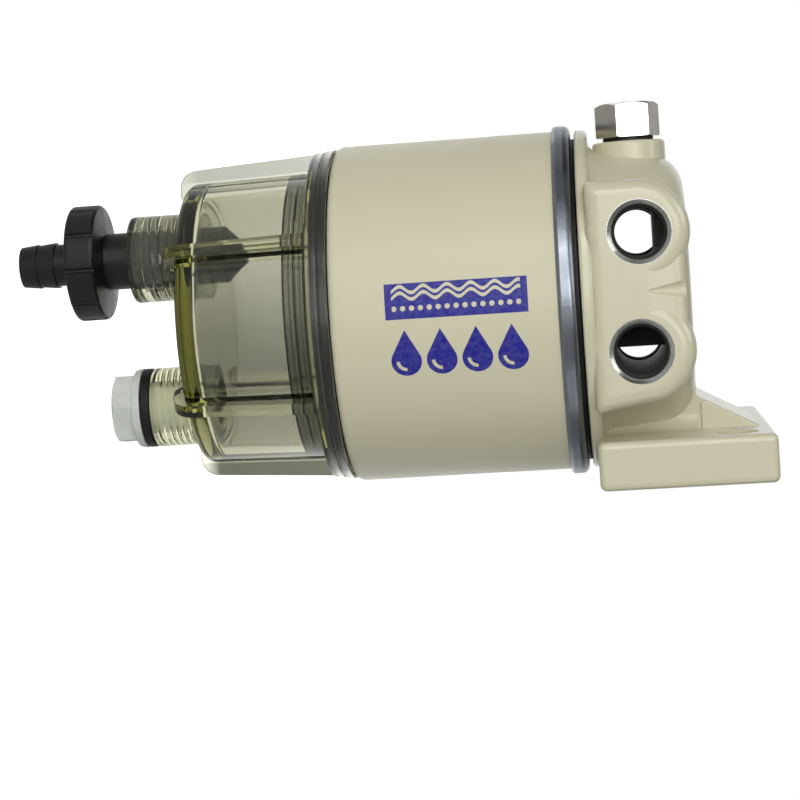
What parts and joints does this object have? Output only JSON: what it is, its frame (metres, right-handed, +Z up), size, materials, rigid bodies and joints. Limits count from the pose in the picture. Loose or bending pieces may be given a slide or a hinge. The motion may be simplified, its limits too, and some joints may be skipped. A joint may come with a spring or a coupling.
{
  "type": "fuel water separator",
  "caption": "Spin-on fuel filter and water separator: cast head with wall plate and side ports, painted steel can, clear ribbed bowl with a drain valve and hose tail.",
  "frame": {"origin": "midpoint of the two bolt holes, on the wall plate's rear face", "axes": "+Z up along the filter's axis, towards the head; +Y out of the wall plate's rear face, into the wall; the fuel ports open to +X and -X and the vent plug points to -Y"},
  "size_m": [0.0854, 0.0906, 0.1831],
  "materials": {
    "cream_paint": "gloss",
    "zinc_ring": "satin",
    "steel": "satin",
    "plated_steel": "gloss",
    "black_rubber": "matte",
    "filter_paper": "matte",
    "black_nylon": "satin",
    "white_nylon": "satin",
    "clear_plastic": "gloss"
  },
  "bodies": {
    "head": {"head": "cream_paint", "element_stud": "steel"},
    "vent_seal": {"vent_seal": "black_rubber"},
    "vent_plug": {"vent_plug": "plated_steel"},
    "element_seal": {"element_gasket": "black_rubber"},
    "element": {"seam_ring": "zinc_ring", "top_plate": "steel", "filter_can": "cream_paint", "media_pack": "filter_paper", "upper_end_cap": "steel", "lower_end_cap": "steel", "centre_tube": "steel", "hub_grommet": "black_rubber", "can_thread_ring": "black_nylon"},
    "bowl_seal": {"bowl_seal": "black_rubber"},
    "bowl": {"bowl": "clear_plastic"},
    "drain_seal": {"drain_seal": "black_rubber"},
    "drain_valve": {"drain_valve": "black_nylon"},
    "probe_seal": {"probe_seal": "black_rubber"},
    "probe_plug": {"probe_plug": "white_nylon"}
  },
  "joints": [
    {"name": "element_slide", "type": "slide", "parent": "head", "child": "element_seal", "axis": [0, 0, -1], "range_m": [0, 0.0127]},
    {"name": "element_turn", "type": "hinge", "parent": "element_seal", "child": "element", "pos_m": [0, -0.0434, -0.042], "axis": [0, 0, -1], "range_deg": [0, 2880]},
    {"name": "bowl_slide", "type": "slide", "parent": "element", "child": "bowl_seal", "axis": [0, 0, -1], "range_m": [0, 0.009]},
    {"name": "bowl_turn", "type": "hinge", "parent": "bowl_seal", "child": "bowl", "pos_m": [0, -0.0434, -0.0928], "axis": [0, 0, -1], "range_deg": [0, 1080]},
    {"name": "drain_slide", "type": "slide", "parent": "bowl", "child": "drain_seal", "axis": [0, 0, -1], "range_m": [0, 0.004]},
    {"name": "drain_turn", "type": "hinge", "parent": "drain_seal", "child": "drain_valve", "pos_m": [0, -0.0604, -0.14], "axis": [0, 0, -1], "range_deg": [0, 720]},
    {"name": "probe_slide", "type": "slide", "parent": "bowl", "child": "probe_seal", "axis": [0, 0, -1], "range_m": [0, 0.009]},
    {"name": "probe_turn", "type": "hinge", "parent": "probe_seal", "child": "probe_plug", "pos_m": [0, -0.0231, -0.142], "axis": [0, 0, -1], "range_deg": [0, 2160]},
    {"name": "vent_slide", "type": "slide", "parent": "head", "child": "vent_seal", "axis": [0, -1, 0], "range_m": [0, 0.009]},
    {"name": "vent_turn", "type": "hinge", "parent": "vent_seal", "child": "vent_plug", "pos_m": [0, -0.0818, -0.021], "axis": [0, -1, 0], "range_deg": [0, 2160]}
  ],
  "couplings": [
    {"joint": "element_slide", "follows": "element_turn", "m_per_rad": 0.00025265},
    {"joint": "bowl_slide", "follows": "bowl_turn", "m_per_rad": 0.00047746},
    {"joint": "drain_slide", "follows": "drain_turn", "m_per_rad": 0.0003183},
    {"joint": "probe_slide", "follows": "probe_turn", "m_per_rad": 0.00023873},
    {"joint": "vent_slide", "follows": "vent_turn", "m_per_rad": 0.00023873}
  ]
}
